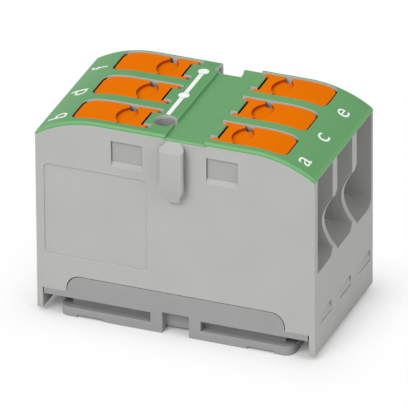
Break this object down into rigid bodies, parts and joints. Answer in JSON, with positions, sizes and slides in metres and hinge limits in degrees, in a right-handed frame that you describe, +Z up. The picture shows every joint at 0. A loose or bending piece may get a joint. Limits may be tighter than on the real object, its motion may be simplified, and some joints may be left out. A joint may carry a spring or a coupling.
{
  "type": "power distribution block",
  "caption": "Block with conductor entries on both ends, an arched green cover with flush orange levers, a test opening, a side coupling tenon and groove, and a split mounting foot.",
  "frame": {"origin": "middle of the overall outline in plan, coupling tenon included, on the plane the foot plate stands on", "axes": "+X towards the end with the entries a, c and e; +Y from the front wall with the tenon to the rear wall with the groove; +Z up through the cover"},
  "size_m": [0.0444, 0.0264, 0.0336],
  "materials": {
    "housing_plastic": "fine satin moulding, light grey",
    "cover_plastic": "satin, green outer face",
    "base_plastic": "satin, darker grey",
    "lever_plastic": "satin, orange",
    "spring_steel": "bright rolled strip",
    "bar_metal": "matt tin plating on copper"
  },
  "bodies": {
    "block": {"housing": "housing_plastic", "cover": "cover_plastic", "base": "base_plastic", "bridge_bar": "bar_metal", "bar_ab": "bar_metal", "bar_cd": "bar_metal", "bar_ef": "bar_metal", "spring_a": "spring_steel", "spring_b": "spring_steel", "spring_c": "spring_steel", "spring_d": "spring_steel", "spring_e": "spring_steel", "spring_f": "spring_steel"},
    "arm_a": {"lever_a": "lever_plastic"},
    "arm_b": {"lever_b": "lever_plastic"},
    "arm_c": {"lever_c": "lever_plastic"},
    "arm_d": {"lever_d": "lever_plastic"},
    "arm_e": {"lever_e": "lever_plastic"},
    "arm_f": {"lever_f": "lever_plastic"}
  },
  "joints": [
    {"name": "lever_a_pivot", "type": "hinge", "parent": "block", "child": "arm_a", "pos_m": [0.0039, -0.007, 0.0314], "axis": [0, -1, 0], "range_deg": [0, 17]},
    {"name": "lever_b_pivot", "type": "hinge", "parent": "block", "child": "arm_b", "pos_m": [-0.0039, -0.007, 0.0314], "axis": [0, 1, 0], "range_deg": [0, 17]},
    {"name": "lever_c_pivot", "type": "hinge", "parent": "block", "child": "arm_c", "pos_m": [0.0039, 0.0012, 0.0314], "axis": [0, -1, 0], "range_deg": [0, 17]},
    {"name": "lever_d_pivot", "type": "hinge", "parent": "block", "child": "arm_d", "pos_m": [-0.0039, 0.0012, 0.0314], "axis": [0, 1, 0], "range_deg": [0, 17]},
    {"name": "lever_e_pivot", "type": "hinge", "parent": "block", "child": "arm_e", "pos_m": [0.0039, 0.0094, 0.0314], "axis": [0, -1, 0], "range_deg": [0, 17]},
    {"name": "lever_f_pivot", "type": "hinge", "parent": "block", "child": "arm_f", "pos_m": [-0.0039, 0.0094, 0.0314], "axis": [0, 1, 0], "range_deg": [0, 17]}
  ]
}
